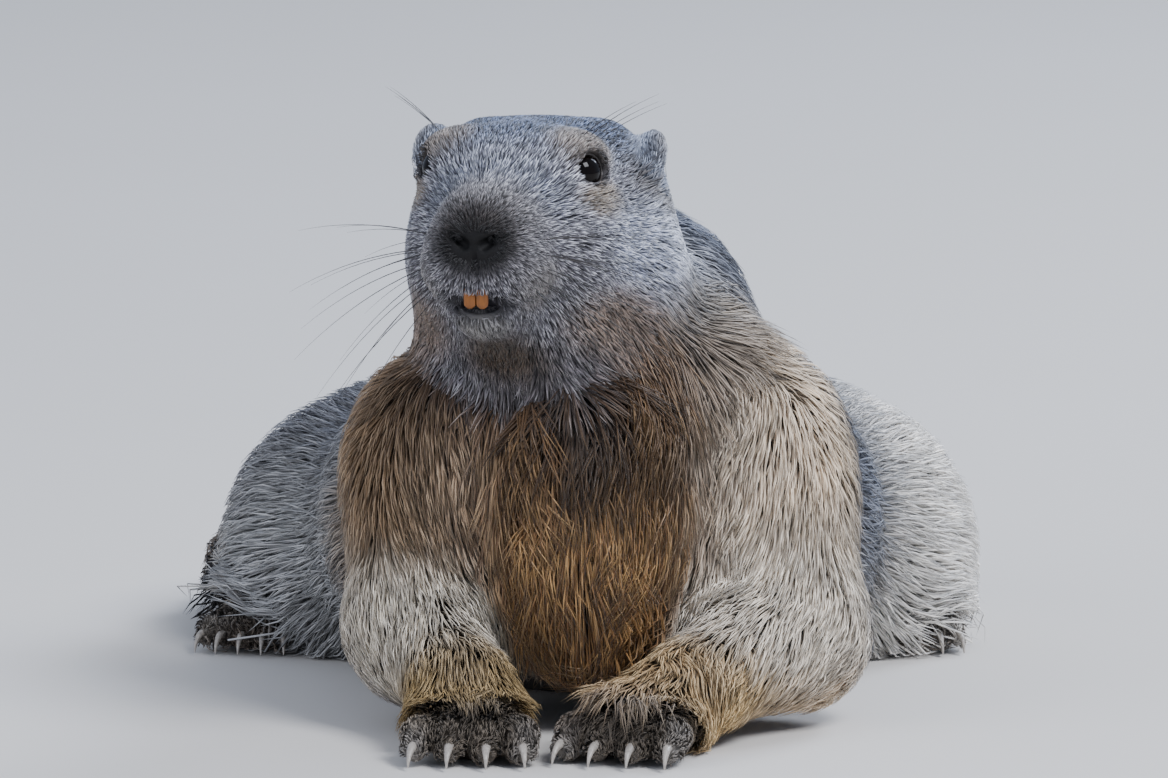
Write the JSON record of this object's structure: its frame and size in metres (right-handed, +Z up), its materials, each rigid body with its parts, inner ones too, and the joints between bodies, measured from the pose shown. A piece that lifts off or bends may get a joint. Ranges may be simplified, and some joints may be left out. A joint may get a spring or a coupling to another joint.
{
  "type": "alpine marmot, lying, still life-size model",
  "caption": "Life-size still model of an alpine marmot lying on its belly, chest raised, head turned to its right.",
  "frame": {"origin": "on the floor, on the flat of the belly below the chest", "axes": "+Z up, the marmot faces -Y, its left side is at +X"},
  "size_m": [0.2879, 0.4279, 0.2109],
  "materials": {
    "fur_grey": "soft fur with a silver sheen",
    "fur_tan": "soft fur",
    "fur_pale": "soft fur",
    "fur_rust": "long coarse fur",
    "fur_black": "bushy fur",
    "paw_skin": "dry skin",
    "nose_skin": "moist skin",
    "claw_horn": "worn horn",
    "eye_gloss": "wet gloss",
    "tooth_enamel": "orange enamel"
  },
  "bodies": {
    "root": {"eye_right": "eye_gloss", "eye_left": "eye_gloss", "incisors": "tooth_enamel", "forepaw_right": "paw_skin", "forepaw_left": "paw_skin", "hindfoot_right": "paw_skin", "hindfoot_left": "paw_skin", "head": "fur_grey", "ear_right": "fur_grey", "ear_left": "fur_grey", "neck": "fur_tan", "torso": "fur_rust", "foreleg_right": "fur_tan", "foreleg_left": "fur_tan", "hindleg_right": "fur_pale", "hindleg_left": "fur_pale", "tail_base": "fur_grey", "tail_tip": "fur_black"}
  },
  "joints": []
}
